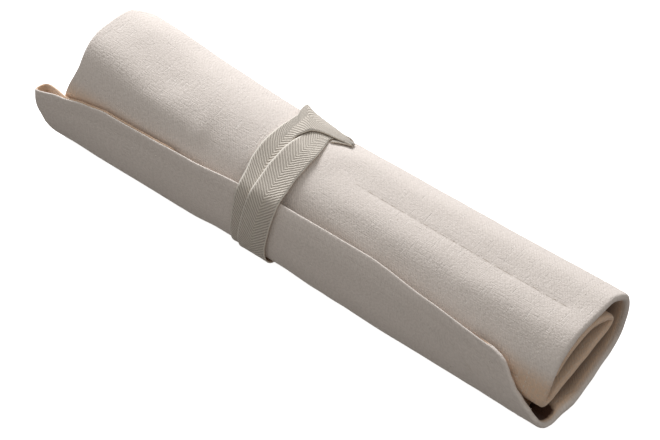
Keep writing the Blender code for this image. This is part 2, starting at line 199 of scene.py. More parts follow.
def seam_dip(w, x):
    """Inward pull of the stitching, with small puckers between the stitches."""
    pucker = 1.0 + 0.25 * np.sin(2.0 * math.pi * x / 6.3 + 2.0 * np.sin(x / 23.0))
    dip = 0.7 * bump(x, -HEM_DEPTH, 1.6) * (1.0 + 0.2 * np.sin(w * 1.05))
    for edge in (SIDE_HEM, SHEET_W - SIDE_HEM):
        dip = np.maximum(dip, bump(w, edge, 1.5) * pucker)
    along = smooth((x + 159.0) / 6.0) * (x < -HEM_DEPTH)
    for seam in SEAM_US:
        dip = np.maximum(dip, 1.8 * along * bump(w, seam, 1.5) * pucker)
    return 0.26 * dip


def relief(w, x):
    """Soft undulation of the cloth, outward positive."""
    free = 1.0 - smooth((30.0 - np.abs(x - TAPE_X)) / 14.0)
    # Random waves of three sizes, calm under the tape and at the left rim.
    soft = 0.5 * noise(3, w, x, 38.0, 62.0) + 0.26 * noise(5, w + 0.4 * x, x - 0.5 * w, 17.0, 30.0)
    soft = soft + 0.10 * noise(7, w, x, 6.0, 8.0)
    soft = soft * free * smooth((x + 362.0) / 30.0)
    # Larger shapes of the outer turn: the flat top, its valley and an oblique ridge right of the tape, then
    # the dent, the shoulder and a wrinkle left of it.
    outer = smooth((w - 120.0) / 20.0) * smooth((262.0 - w) / 20.0)
    right = smooth((x + 195.0) / 30.0)
    flat_top = right * (0.9 * bump(w, 188.0, 9.0) - bump(w, 206.0, 9.0) + bump(w, 227.0, 9.0))
    valley = -0.5 * bump(w, 211.0, 7.0) * smooth((x + 170.0) / 40.0) * smooth((-6.0 - x) / 20.0)
    dent = -0.8 * bump(w, 256.0, 9.0) * bump(x, -318.0, 26.0)
    shoulder = 3.2 * bump(w - 0.12 * (x + 300.0), 233.0, 15.0) * smooth((-245.0 - x) / 60.0)
    wrinkle = 0.8 * bump(x - 0.12 * (w - 238.0), -261.0, 4.0) * bump(w, 238.0, 12.0)
    wrinkle = wrinkle - 0.5 * bump(x - 0.2 * (w - 236.0), -252.0, 5.0) * bump(w, 236.0, 12.0)
    oblique = 0.8 * bump(w - 0.22 * (x + 150.0), 240.0, 6.0) * bump(x, -148.0, 34.0)
    # The raised back at the left end and the low tip of the inner turn at the right end.
    end = 1.0 - 0.1 * smooth((-324.0 - x) / 26.0)
    raised_back = 2.6 * bump(w, TOP_BACK + 2.0, 19.0) * smooth((-225.0 - x) / 110.0) * end
    low_tip = 2.2 * bump(w, 270.0, 7.0) * smooth((x + 60.0) / 50.0)
    shaped = flat_top + valley + dent + shoulder + wrinkle + oblique
    return soft + outer * shaped + raised_back + low_tip


def sheet_point(w, x, n):
    """Points (x, b, z) of the sheet moved inward by n from the middle of the body cloth."""
    w, x, n = np.broadcast_arrays(np.asarray(w, float), np.asarray(x, float), np.asarray(n, float))
    u = w
    for _ in range(3):
        tx = true_x(u, x)
        u = from_edge(w, tx)
    tx = true_x(u, x)
    n = n + seam_dip(w, x) - relief(w, x)
    b, z = placed(u, tx)
    b0, z0 = placed(u - 0.6, tx)
    b1, z1 = placed(u + 0.6, tx)
    size = np.hypot(b1 - b0, z1 - z0)
    nb, nz = (z1 - z0) / size, -(b1 - b0) / size
    z = z + nz * n
    return np.stack([tx, b + nb * n, np.maximum(z, LOWEST)], axis=-1)


def to_frame(p):
    """Roll coordinates (x, b, z) in millimetres to the CAD frame in metres."""
    return np.stack([p[..., 0] + CAD_SHIFT[0], CAD_SHIFT[1] - p[..., 1], p[..., 2]], axis=-1) * MM


def mesh_object(name, verts, faces, material, uv=None, values=None):
    mesh = bpy.data.meshes.new(name)
    mesh.from_pydata(verts.tolist(), [], faces.tolist())
    mesh.update()
    mesh.polygons.foreach_set("use_smooth", np.ones(len(mesh.polygons), bool))
    if uv is not None:
        loops = np.zeros(len(mesh.loops), np.int32)
        mesh.loops.foreach_get("vertex_index", loops)
        layer = mesh.uv_layers.new(name="cloth")
        layer.data.foreach_set("uv", uv[loops].astype(np.float32).ravel())
    if values is not None:
        # Per-point inside value: up to 1 is painted warm bounce light, from 1 to 2 painted shade.
        attribute = mesh.attributes.new("inside", "FLOAT", "POINT")
        attribute.data.foreach_set("value", values.astype(np.float32))
    mesh.materials.append(material)
    obj = bpy.data.objects.new(name, mesh)
    bpy.context.scene.collection.objects.link(obj)
    return obj


def thick_sheet(name, grid, thickness, uv, painted_light_top, painted_light_bottom, material):
    """Closed cloth solid round a grid of middle points, with the inside value of each of its two faces,
    which paints warm bounce light and shade.
    """
    du = np.gradient(grid, axis=0)
    dv = np.gradient(grid, axis=1)
    normal = np.cross(du, dv)
    normal /= np.maximum(np.linalg.norm(normal, axis=-1, keepdims=True), 1e-9)
    top = grid + normal * (thickness / 2.0)
    bottom = grid - normal * (thickness / 2.0)
    rows, cols = grid.shape[:2]
    index = np.arange(rows * cols).reshape(rows, cols)
    low = index + rows * cols
    quads = [np.stack([index[:-1, :-1], index[1:, :-1], index[1:, 1:], index[:-1, 1:]], -1).reshape(-1, 4),
             np.stack([low[:-1, :-1], low[:-1, 1:], low[1:, 1:], low[1:, :-1]], -1).reshape(-1, 4),
             np.stack([index[0, :-1], index[0, 1:], low[0, 1:], low[0, :-1]], -1),
             np.stack([index[-1, :-1], low[-1, :-1], low[-1, 1:], index[-1, 1:]], -1),
             np.stack([index[:-1, 0], low[:-1, 0], low[1:, 0], index[1:, 0]], -1),
             np.stack([index[:-1, -1], index[1:, -1], low[1:, -1], low[:-1, -1]], -1)]
    verts = to_frame(np.vstack([top.reshape(-1, 3), bottom.reshape(-1, 3)]))
    uvs = np.vstack([uv.reshape(-1, 2), uv.reshape(-1, 2)]) * MM
    values = np.concatenate([painted_light_top.ravel(), painted_light_bottom.ravel()])
    return mesh_object(name, verts, np.vstack(quads), material, uvs, values)


# ---- materials ------------------------------------------------------------------------------------------

class Shader:
    """Small helper that adds nodes and links them."""

    def __init__(self, name):
        self.material = bpy.data.materials.new(name)
        self.material.use_nodes = True
        self.tree = self.material.node_tree
        self.bsdf = self.tree.nodes["Principled BSDF"]

    def node(self, kind, **settings):
        node = self.tree.nodes.new(kind)
        for key, value in settings.items():
            setattr(node, key, value)
        return node

    def put(self, socket, value):
        if isinstance(value, bpy.types.NodeSocket):
            self.tree.links.new(value, socket)
        else:
            socket.default_value = value

    def math(self, operation, a, b=0.0):
        node = self.node("ShaderNodeMath", operation=operation)
        self.put(node.inputs[0], a)
        self.put(node.inputs[1], b)
        return node.outputs[0]

    def mix(self, factor, a, b):
        node = self.node("ShaderNodeMix", data_type="RGBA")
        self.put(node.inputs[0], factor)
        self.put(node.inputs[6], a)
        self.put(node.inputs[7], b)
        return node.outputs[2]

    def noise(self, vector, scale, detail=2.0, stretch=(1.0, 1.0, 1.0)):
        mapping = self.node("ShaderNodeMapping")
        self.put(mapping.inputs["Vector"], vector)
        mapping.inputs["Scale"].default_value = stretch
        node = self.node("ShaderNodeTexNoise")
        self.put(node.inputs["Vector"], mapping.outputs[0])
        node.inputs["Scale"].default_value = scale
        node.inputs["Detail"].default_value = detail
        return node.outputs["Fac"]

    def ramp(self, value, low, high):
        node = self.node("ShaderNodeMapRange", clamp=True)
        self.put(node.inputs["Value"], value)
        node.inputs["From Min"].default_value = low
        node.inputs["From Max"].default_value = high
        return node.outputs[0]

    def axes(self):
        coords = self.node("ShaderNodeUVMap", uv_map="cloth")
        split = self.node("ShaderNodeSeparateXYZ")
        self.put(split.inputs[0], coords.outputs[0])
        return coords.outputs[0], split.outputs[0], split.outputs[1]

    def finish(self, colour, height, distance, roughness):
        self.put(self.bsdf.inputs["Base Color"], colour)
        self.put(self.bsdf.inputs["Roughness"], roughness)
        self.bsdf.inputs["Specular IOR Level"].default_value = 0.18
        self.bsdf.inputs["Sheen Weight"].default_value = 0.12
        self.bsdf.inputs["Sheen Roughness"].default_value = 0.6
        node = self.node("ShaderNodeBump")
        node.inputs["Strength"].default_value = 1.0
        node.inputs["Distance"].default_value = distance
        self.put(node.inputs["Height"], height)
        self.put(self.bsdf.inputs["Normal"], node.outputs[0])
        return self.material


TWILL = 0.0014                 # rib pitch of the drill, metres
DRILL_YARN = 0.00115           # pitch of its lengthwise yarns
HERRINGBONE = 0.00165          # rib pitch of the tape
TAPE_YARN = 0.0009             # pitch of its lengthwise yarns


def wave(s, phase):
    """0 to 1 sine of a phase counted in whole periods."""
    turn = s.math("MULTIPLY", phase, 2.0 * math.pi)
    sine = s.math("SINE", turn)
    return s.math("ADD", s.math("MULTIPLY", sine, 0.5), 0.5)


def drill_material(name, light, warm):
    """Cotton drill: diagonal twill ribs, uneven yarns, slubs and small dark seed specks, with painted shade
    in the twill valleys, painted warm bounce light on inner faces and painted shade deep inside.
    """
    s = Shader(name)
    uv, across, along = s.axes()
    uneven = s.noise(uv, 420.0, 2.0)
    diagonal = s.math("ADD", s.math("MULTIPLY", along, 0.79 / TWILL),
                      s.math("MULTIPLY", across, 0.61 / TWILL))
    phase = s.math("ADD", diagonal, s.math("MULTIPLY", uneven, 0.9))
    rib = wave(s, phase)
    yarn = wave(s, s.math("ADD", s.math("MULTIPLY", across, 1.0 / DRILL_YARN),
                          s.math("MULTIPLY", uneven, 0.8)))
    slub = s.ramp(s.noise(uv, 90.0, 3.0, (1.0, 9.0, 1.0)), 0.56, 0.8)
    cross_slub = s.ramp(s.noise(uv, 80.0, 3.0, (10.0, 1.0, 1.0)), 0.6, 0.82)
    cloud = s.noise(uv, 14.0, 3.0)
    mottle = s.noise(uv, 820.0, 3.0, (1.0, 0.7, 1.0))
    grain = s.noise(uv, 1500.0, 2.0)
    speck_cells = s.node("ShaderNodeTexVoronoi")
    s.put(speck_cells.inputs["Vector"], uv)
    speck_cells.inputs["Scale"].default_value = 85.0
    near = s.math("LESS_THAN", speck_cells.outputs["Distance"], 0.045)
    rare = s.math("GREATER_THAN", s.noise(uv, 31.0, 1.0), 0.56)
    speck = s.math("MULTIPLY", near, rare)

    shifted = s.math("ADD", across, (0.5 * POCKET_PITCH - FIRST_SEAM) * MM)
    repeat = s.math("FLOORED_MODULO", shifted, POCKET_PITCH * MM)
    off_seam = s.math("ABSOLUTE", s.math("SUBTRACT", repeat, 0.5 * POCKET_PITCH * MM))
    seam = s.math("LESS_THAN", off_seam, 0.0004)
    seam = s.math("MULTIPLY", seam, s.math("GREATER_THAN", along, 0.034))
    seam = s.math("MULTIPLY", seam, s.math("GREATER_THAN", across, 0.5 * FIRST_SEAM * MM))
    seam = s.math("MULTIPLY", seam, s.math("LESS_THAN", along, 0.180))
    seam = s.math("MULTIPLY", seam, s.ramp(s.noise(uv, 210.0, 2.0), 0.40, 0.62))

    # Inner faces take the second, warm colour: painted warm bounce light between the cloth layers.
    inside = s.node("ShaderNodeAttribute", attribute_name="inside")
    colour = s.mix(s.ramp(inside.outputs["Fac"], 0.0, 1.0), light, warm)
    shade = s.ramp(cloud, 0.25, 0.75)
    colour = s.mix(s.math("MULTIPLY", shade, 0.10), colour, (0.62, 0.57, 0.52, 1.0))
    colour = s.mix(s.math("MULTIPLY", s.ramp(mottle, 0.40, 0.68), 0.34), colour, (0.55, 0.50, 0.45, 1.0))
    # Twill valleys a little darker: painted shade in the rib valleys.
    valley = s.math("SUBTRACT", 1.0, rib)
    colour = s.mix(s.math("MULTIPLY", valley, 0.06), colour, (0.46, 0.42, 0.37, 1.0))
    colour = s.mix(s.math("MULTIPLY", grain, 0.12), colour, (0.52, 0.47, 0.42, 1.0))
    colour = s.mix(s.math("MULTIPLY", slub, 0.40), colour, (0.92, 0.88, 0.83, 1.0))
    colour = s.mix(s.math("MULTIPLY", seam, 0.6), colour, (0.36, 0.29, 0.23, 1.0))
    colour = s.mix(s.math("MULTIPLY", speck, 0.55), colour, (0.30, 0.24, 0.18, 1.0))
    # Painted shade: where the inside value rises from 1 to 2, deep in the right end, the cloth goes near
    # black brown.
    colour = s.mix(s.ramp(inside.outputs["Fac"], 1.0, 2.0), colour, (0.06, 0.024, 0.012, 1.0))
    height = s.math("ADD", s.math("MULTIPLY", rib, 0.28), s.math("MULTIPLY", yarn, 0.08))
    height = s.math("ADD", height, s.math("MULTIPLY", mottle, 1.3))
    height = s.math("ADD", height, s.math("MULTIPLY", grain, 0.3))
    height = s.math("ADD", height, s.math("MULTIPLY", s.math("ADD", slub, cross_slub), 0.7))
    rough = s.math("ADD", 0.86, s.math("MULTIPLY", grain, 0.1))
    return s.finish(colour, height, 0.00027, rough)


def tape_material(name):
    """Herringbone tape: ribs that meet in a spine along the middle, with plain bright selvedges, painted
    shade in the rib valleys and painted warm bounce light on the face toward the roll.
    """
    s = Shader(name)
    uv, across, along = s.axes()
    uneven = s.noise(uv, 380.0, 2.0)
    fold = s.math("ABSOLUTE", across)
    diagonal = s.math("MULTIPLY", s.math("ADD", along, fold), 0.74 / HERRINGBONE)
    rib = wave(s, s.math("ADD", diagonal, s.math("MULTIPLY", uneven, 0.35)))
    yarn = wave(s, s.math("MULTIPLY", across, 1.0 / TAPE_YARN))
    grain = s.noise(uv, 1300.0, 2.0)
    cloud = s.noise(uv, 25.0, 3.0)
    selvedge = s.ramp(fold, 0.0091, 0.0095)
    rib = s.math("MAXIMUM", rib, selvedge)
    colour = s.mix(s.math("MULTIPLY", cloud, 0.3), (0.77, 0.71, 0.63, 1.0), (0.67, 0.62, 0.54, 1.0))
    inside = s.node("ShaderNodeAttribute", attribute_name="inside")
    # Rib valleys darkened strongly: painted shade between the ribs.
    valley = s.math("POWER", s.math("SUBTRACT", 1.0, rib), 1.4)
    colour = s.mix(s.math("MULTIPLY", valley, 0.66), colour, (0.27, 0.235, 0.195, 1.0))
    # Painted warm bounce light on the face toward the roll, where the inside value is 1.
    colour = s.mix(s.math("MULTIPLY", inside.outputs["Fac"], 0.8), colour, (0.80, 0.58, 0.38, 1.0))
    colour = s.mix(s.math("MULTIPLY", grain, 0.15), colour, (0.50, 0.46, 0.40, 1.0))
    colour = s.mix(s.math("MULTIPLY", selvedge, 0.5), colour, (0.90, 0.86, 0.78, 1.0))
    height = s.math("ADD", rib, s.math("MULTIPLY", yarn, 0.12))
    height = s.math("ADD", height, s.math("MULTIPLY", grain, 0.3))
    return s.finish(colour, height, 0.00035, 0.82)


def thread_material(name):
    s = Shader(name)
    coords = s.node("ShaderNodeTexCoord")
    twist = s.noise(coords.outputs["Object"], 2600.0, 2.0)
    colour = s.mix(twist, (0.84, 0.78, 0.71, 1.0), (0.76, 0.70, 0.63, 1.0))
    return s.finish(colour, twist, 0.00008, 0.7)


# Second colour of each drill: painted warm bounce light for inner faces; the pocket cloth's own colour is
# warmed the same way.
DRILL = drill_material("cotton_drill_looks", (0.84, 0.77, 0.72, 1.0), (0.82, 0.58, 0.40, 1.0))
POCKET_BOUNCE_LOOKS = drill_material("cotton_pocket_painted_bounce_looks", (0.80, 0.66, 0.52, 1.0), (0.78, 0.60, 0.44, 1.0))
TAPE = tape_material("herringbone_tape_looks")
THREAD = thread_material("sewing_thread_looks")


# ---- body panel -----------------------------------------------------------------------------------------

def right_fold(w):
    """Centre distance of the pocket bottom hem's two layers: puffed low at the front, tighter at folds."""
    rows = [(0, 2.4), (40, 2.8), (59, 3.2), (65, 7.8), (76, 8.4), (88, 4.6), (110, 3.8),
            (TIP_FRONT - 14, 3.9), (TIP_FRONT, 3.4), (TIP_FRONT + 12, 3.8),
            (TIP_BACK - 12, 3.7), (TIP_BACK, 2.8), (TIP_BACK + 12, 3.7), (SHEET_W, 3.4)]
    return table(rows, w)


def left_fold(w):
    """Centre distance of the two layers at the folded-in top flap, open at the free flap's tip."""
    return FLAP_GAP + 8.0 * smooth((46.0 - w) / 34.0)


def left_inner(w, x):
    """Inward offset of the folded-in layer: it closes up again where the inner turn begins."""
    shut = smooth((x - (ROLL_LEFT + 2.0)) / 24.0)
    return left_fold(w) * (1.0 - shut) + FLAP_GAP * shut


def body_rows():
    """Row parameters: distance w from the free edge and offset of the turned-in side hem layer."""
    radius = SIDE_FOLD / 2.0
    turned = [(w, SIDE_FOLD) for w in np.linspace(SIDE_TURN, radius, 5)]
    arc = [(radius - radius * math.cos(a), radius + radius * math.sin(a))
           for a in np.radians([60, 25, -10, -50])]
    start = turned + arc
    main = [(w, 0.0) for w in np.linspace(radius, SHEET_W - radius, 262)]
    end = [(SHEET_W - w, n) for w, n in reversed(start)]
    rows = start + main + end
    w = np.array([r[0] for r in rows])
    side = np.array([r[1] for r in rows])
    flat = np.concatenate([[0.0], np.cumsum(np.hypot(np.diff(w), np.diff(side)))]) - SIDE_TURN
    return w[:, None], side[:, None], flat[:, None]


def body_columns(w):
    """Stations, inward offsets and profile normals across the roll for rows w."""
    right = right_fold(w)
    left = left_fold(w)
    parts = []

    def add(x, n, nx, nn):
        parts.append(np.broadcast_arrays(x, n, nx, nn, w)[:4])

    # The turned-in pocket bottom hem and its fold at the right rim.
    hem = np.linspace(0.0, 1.0, 6)[None]
    add(-HEM_DEPTH + (HEM_DEPTH - right / 2) * hem, right, 0.0, 1.0)
    a = np.radians(np.linspace(90.0, -90.0, 10)[1:-1])[None]
    add(-right / 2 + right / 2 * np.cos(a), right / 2 + right / 2 * np.sin(a), np.cos(a), np.sin(a))

    # The outer layer, with closer columns near both rims.
    start = -right / 2
    stop = ROLL_LEFT + left / 2
    steps = np.concatenate([np.linspace(0, 0.075, 14)[:-1], np.linspace(0.075, 0.94, 98)[:-1],
                            np.linspace(0.94, 1.0, 10)])[None]
    add(start + (stop - start) * steps, 0.0, 0.0, -1.0)

    # The fold at the left rim, boxier near the free edge, and the folded-in top flap.
    a = np.radians(np.linspace(-90.0, -270.0, 12)[1:-1])[None]
    boxy = 1.0 - 0.35 * smooth((40.0 - w) / 24.0)
    add(stop + left / 2 * np.sign(np.cos(a)) * np.abs(np.cos(a)) ** boxy,
        left / 2 + left / 2 * np.sign(np.sin(a)) * np.abs(np.sin(a)) ** boxy, np.cos(a), np.sin(a))
    flap = stop + TOP_FLAP_DEPTH * np.linspace(0.0, 1.0, 20)[None] ** 1.5
    add(flap, left_inner(w, flap), 0.0, 1.0)
    return [np.concatenate([p[k] for p in parts], axis=1) for k in range(4)]


def build_body():
    w, side, flat = body_rows()
    x, n, nx, nn = body_columns(w)
    px, pn = x - nx * side, n - nn * side
    grid = sheet_point(w, px, pn)
    middle = grid.shape[0] // 2
    along = np.concatenate([[0.0], np.cumsum(np.hypot(np.diff(x[middle]), np.diff(n[middle])))])
    uv = np.stack(np.broadcast_arrays(flat, along[None]), axis=-1)
    # Inside value, painted light: 0 on the outside, 1 on inner faces for painted warm bounce light, rising
    # to 2 for painted shade where it gets dark deep inside the right end.
    turned_in = (n > 0.5 * np.minimum(right_fold(w), left_fold(w))) * 1.0
    turned_in = turned_in * np.where(x > -60.0, smooth((-0.3 - x) / 3.2), 1.0)
    # Painted warm bounce light on the cloth just above the flap's edge and on into the inner turn.
    second = smooth((w - 246.0) / 14.0)
    # Painted shade: the turned-in faces darken deep inside the right end, most at the dark hole, w about 26
    # to 69.
    hole = smooth((w - 26.0) / 10.0) * smooth((69.0 - w) / 7.0)
    deep = smooth((-1.5 + 1.2 * hole - x) / (9.0 - 5.0 * hole))
    depth = (0.7 + 0.6 * hole) * deep * smooth((x + 250.0) / 50.0)
    outer = np.maximum(second, turned_in) + turned_in * depth
    inner = 1.0 + depth * (n < 1.0)
    piece = thick_sheet("body_cloth", grid, CLOTH_T, uv, outer, inner, DRILL)
    return piece, along[-1]


def build_pocket():
    w = np.linspace(POCKET_INSET, SHEET_W - POCKET_INSET, 200)[:, None]
    upper = np.linspace(-POCKET_DEPTH, -20.0, 56)
    x = np.concatenate([upper, np.linspace(-18.0, -POCKET_FOOT, 10)])[None]
    grid = sheet_point(w, x, POCKET_N)
    uv = np.stack(np.broadcast_arrays(w, x), axis=-1)
    # Both faces of the pocket cloth take inside value 1: painted warm bounce light all over.
    ones = np.ones(grid.shape[:2])
    return thick_sheet("pocket_cloth", grid, CLOTH_T, uv, ones, ones, POCKET_BOUNCE_LOOKS)


# ---- stitches -------------------------------------------------------------------------------------------

def stitch_run(path, count, face):
    """Small lens-shaped stitches along path(t) -> (w, x, n); face is -1 outside, +1 inside the cloth."""
    t = (np.arange(count)[:, None] + np.linspace(0.12, 0.88, STITCH_POINTS)[None]) / count
    bow = np.linspace(-1.0, 1.0, STITCH_POINTS)[None] ** 2
    w, x, n = path(t)
    centre = sheet_point(w, x, n + face * (CLOTH_T / 2 + THREAD_R * (0.1 - 1.2 * bow)))
    outside = sheet_point(w, x, n + face * 1.0) - sheet_point(w, x, n)
    outside /= np.linalg.norm(outside, axis=-1, keepdims=True)
    along = np.gradient(centre, axis=1)
    along /= np.linalg.norm(along, axis=-1, keepdims=True)
    across = np.cross(along, outside)
    a = np.radians(np.arange(0, 360, 360 / STITCH_SIDES))
    radius = THREAD_R * np.sqrt(1.05 - bow)[..., None, None]
    ring = centre[:, :, None, :] + radius * (np.cos(a)[:, None] * outside[:, :, None, :] * 0.9
                                             + np.sin(a)[:, None] * across[:, :, None, :] * 1.15)
    return ring


def stitch_piece(name, runs):
    rings = np.concatenate(runs)
    count = rings.shape[0]
    verts = to_frame(rings.reshape(-1, 3))
    index = np.arange(rings[..., 0].size).reshape(count, STITCH_POINTS, STITCH_SIDES)
    nxt = np.roll(index, -1, axis=2)
    sides = np.stack([index[:, :-1], nxt[:, :-1], nxt[:, 1:], index[:, 1:]], -1).reshape(-1, 4)
    caps = np.concatenate([index[:, 0, ::-1], index[:, -1]])
    quads = np.concatenate([caps[:, [0, 1, 2, 3]], caps[:, [0, 3, 4, 5]]])
    return mesh_object(name, verts, np.vstack([sides, quads]), THREAD)


def along_roll(w, start, end, n, face):
    count = int(abs(end - start) / STITCH)
    return stitch_run(lambda t: (w, start + (end - start) * t, n), count, face)


def round_roll(x, start, end, offset, face):
    count = int((end - start) / STITCH)

    def path(t):
        w = start + (end - start) * t
        return w, x, offset(w)

    return stitch_run(path, count, face)


def level(n):
    """Offset that stays n all the way round the roll."""
    return lambda w: np.full_like(w, n)


def build_stitches():
    seams, sides = [], []
    for w in SEAM_US:
        seams.append(along_roll(w, *SEAM_RUN, 0.0, -1))
        seams.append(along_roll(w, *SEAM_RUN, POCKET_N, 1))
    for w in (SIDE_HEM, SHEET_W - SIDE_HEM):
        sides.append(along_roll(w, *SIDE_RUN, 0.0, -1))
        sides.append(along_roll(w, *SIDE_RUN, SIDE_FOLD, 1))
    bottom = [round_roll(-HEM_DEPTH + 2.0, 2.0, SHEET_W - 2.0, level(0.0), -1),
              round_roll(-HEM_DEPTH + 2.0, 2.0, SHEET_W - 2.0, right_fold, 1)]
    mouth = [round_roll(-POCKET_DEPTH + 3.0, 12.0, SHEET_W - 12.0, level(POCKET_N), 1)]
    flap_x = ROLL_LEFT + TOP_FLAP_DEPTH - 4.0
    flap = [round_roll(flap_x, 11.0, SHEET_W - 11.0, level(FLAP_GAP), 1)]
    # One loose thread end near the free edge.
    sides.append(stitch_run(lambda t: (17.0 + 6.0 * t, -37.0 + 4.0 * t * t, -0.35), 1, -1))
    return {"pocket_seam_stitches": seams, "side_hem_stitches": sides, "pocket_bottom_stitches": bottom,
            "pocket_mouth_stitches": mouth, "top_flap_stitches": flap}


# ---- tape -----------------------------------------------------------------------------------------------

WRAP_CENTRE = (44.0, 27.0)
WRAP_STEP = 1.5
WRAP_X = np.arange(TAPE_X - 36.0, TAPE_X + 48.0, WRAP_STEP)
WRAP_A = np.radians(np.arange(0.0, 360.0, 1.0))


def hull(points):
    """Convex outline of 2-D points, counter-clockwise."""
    ordered = sorted(set(points))

    def half(seq):
        out = []
        for p in seq:
            while len(out) > 1:
                (x0, y0), (x1, y1) = out[-2], out[-1]
                if (x1 - x0) * (p[1] - y0) - (y1 - y0) * (p[0] - x0) > 0:
                    break
                out.pop()
            out.append(p)
        return out

    return np.array(half(ordered)[:-1] + half(reversed(ordered))[:-1])


def wrap_table():
    """Distance of the taut outline from its middle for every station and polar angle."""
    u = np.linspace(0.0, SHEET_W, 320)
    radii = []
    for x in WRAP_X:
        b, z = placed(u, np.full_like(u, x))
        pts = hull([(round(p, 3), round(q, 3)) for p, q in zip(b, z)])
        edge = np.roll(pts, -1, axis=0) - pts
        normal = np.stack([edge[:, 1], -edge[:, 0]], -1) / np.linalg.norm(edge, axis=1)[:, None]
        height = ((pts - WRAP_CENTRE) * normal).sum(axis=1)
        facing = normal[:, 0, None] * np.cos(WRAP_A) + normal[:, 1, None] * np.sin(WRAP_A)
        r = np.where(facing > 1e-4, height[:, None] / np.maximum(facing, 1e-4), 1e9).min(axis=0)
        padded_r = np.concatenate([r[-4:], r, r[:4]])
        radii.append(np.convolve(padded_r, np.ones(9) / 9.0, mode="valid"))
    return np.array(radii)


RADII = wrap_table()


def wrap(angle, x, n):
    """Point (b, z) at polar angle and station x, n outside the taut outline."""

    def outline(a):
        ga = np.degrees(a) % 360.0
        gx = np.clip((x - WRAP_X[0]) / WRAP_STEP, 0, len(WRAP_X) - 1.001)
        ia, ix = np.floor(ga).astype(int) % 360, np.floor(gx).astype(int)
        fa, fx = ga - np.floor(ga), gx - ix
        ja = (ia + 1) % 360
        r = ((RADII[ix, ia] * (1 - fa) + RADII[ix, ja] * fa) * (1 - fx)
             + (RADII[ix + 1, ia] * (1 - fa) + RADII[ix + 1, ja] * fa) * fx)
        return np.stack([WRAP_CENTRE[0] + r * np.cos(a), WRAP_CENTRE[1] + r * np.sin(a)], -1)

    d = outline(angle + 0.04) - outline(angle - 0.04)
    d /= np.linalg.norm(d, axis=-1, keepdims=True)
    return outline(angle) + np.stack([d[..., 1], -d[..., 0]], -1) * n[..., None]


LAYER_1, LAYER_2 = 1.25, 2.4     # offsets of the tape's first and second turn outside the taut outline
BACK_TOP = math.radians(140.0)   # polar angle of the crossing
TAPE_COLUMNS = 13
# The tape's two edges: degrees turned from the crossing toward the front, x from TAPE_X, offset outward.
TAPE_EDGES = [
    ((-2, 24.5, 2.3), (2.5, 25, 2.6)), ((-5, 19, 2.3), (3.6, 20.5, 2.6)), ((-7, 12, 2.4), (5.5, 15.5, 2.6)),
    ((-8.5, 5, 2.6), (7.2, 10, 2.6)), ((-11, -3, 2.7), (9, 6, 2.6)), ((-12.5, -12, 3.4), (12.5, 2.4, 2.6)),
    ((-13, -19.5, 5.2), (16.5, 0.4, 2.6)), ((-2, -17, 3.4), (22, -0.8, 2.5)),
    ((5, -14.6, 2.0), (30, -2.3, 2.2)),
    ((17, -14.5, 1.4), (38, -2.5, 1.6)), ((30, -15, LAYER_1), (45, -0.8, LAYER_1)),
    ((44, -15.6, LAYER_1), (52, 1.6, LAYER_1)), ((60, -16, LAYER_1), (62, 3.6, LAYER_1)),
    ((80, -15, LAYER_1), (80, 5, LAYER_1)), ((94, -12.5, LAYER_1), (94, 7.5, LAYER_1)),
    ((107, -10.5, LAYER_1), (107, 9.5, LAYER_1)), ((140, -10, LAYER_1), (140, 10, LAYER_1)),
    ((200, -9, LAYER_1), (200, 11, LAYER_1)), ((300, -4, LAYER_1), (300, 16, LAYER_1)),
    ((335, -2, LAYER_1), (335, 17, LAYER_1)), ((352, 0.5, LAYER_1), (352, 14, LAYER_1)),
    ((371, 1.0, LAYER_1), (371, 12.4, LAYER_1)), ((381, -0.1, LAYER_1 + 0.1), (381, 14.4, LAYER_1)),
    ((388, -1.0, LAYER_1 + 0.3), (388, 15.5, LAYER_1 + 0.2)),
    ((394, -1.4, LAYER_1 + 0.7), (394, 16.1, LAYER_1 + 0.5)),
    ((399, -1.8, LAYER_2), (399, 16.5, LAYER_1 + 0.9)),
    ((405, -2.2, LAYER_2), (405, 16.8, LAYER_2)), ((412, -2.6, LAYER_2), (412, 16.8, LAYER_2)),
    ((436, -3.2, LAYER_2), (436, 16.6, LAYER_2)), ((455, -2, LAYER_2), (455, 18, LAYER_2)),
    ((469, -1.3, LAYER_2), (469, 18.7, LAYER_2)), ((489, -2.4, LAYER_2), (489, 17.6, LAYER_2)),
    ((507, -3.3, LAYER_2), (507, 16.7, LAYER_2)), ((640, -3, LAYER_2 + 0.1), (640, 17, LAYER_2 + 0.1)),
]
# The other end of the tape, a strip that shows under the first one.
UNDER_EDGES = [
    ((-4, 24.5, 1.5), (1.5, 25.5, 1.9)), ((-5, 20, 1.4), (4.5, 21, 1.8)), ((-6, 16.5, 1.2), (8, 17, 1.6)),
    ((-7, 14.8, 0.9), (10.5, 15, 1.2)), ((-7, 14.2, 0.8), (11.5, 13.6, 0.8)),
]


